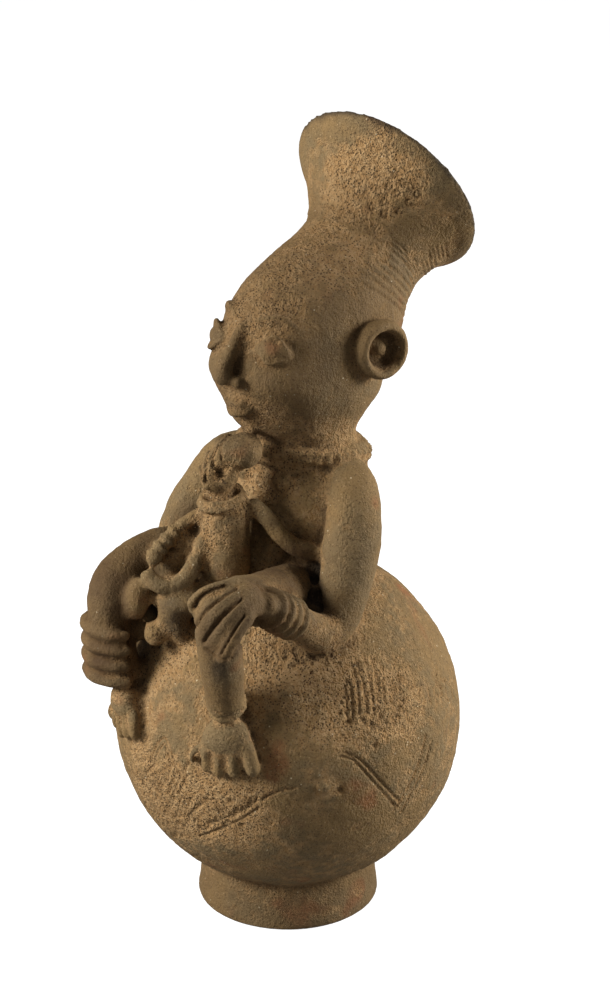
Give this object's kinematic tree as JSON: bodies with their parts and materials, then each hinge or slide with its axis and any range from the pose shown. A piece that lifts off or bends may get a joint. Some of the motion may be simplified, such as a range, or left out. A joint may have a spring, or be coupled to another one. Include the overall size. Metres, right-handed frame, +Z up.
{
  "type": "anthropomorphic jar",
  "caption": "Fired clay effigy jar: a round pot on a ring foot whose neck is a seated mother with a child on her lap. Her flared coiffure is the mouth.",
  "frame": {"origin": "on the ground, under the middle of the ring foot", "axes": "+Z up along the pot, -Y the way the mother faces, +X towards her left"},
  "size_m": [0.1598, 0.1767, 0.3652],
  "materials": {
    "terracotta": "matte, gritty, dusted with dry soil"
  },
  "bodies": {
    "root": {"pot": "terracotta", "mother_and_child": "terracotta"}
  },
  "joints": []
}
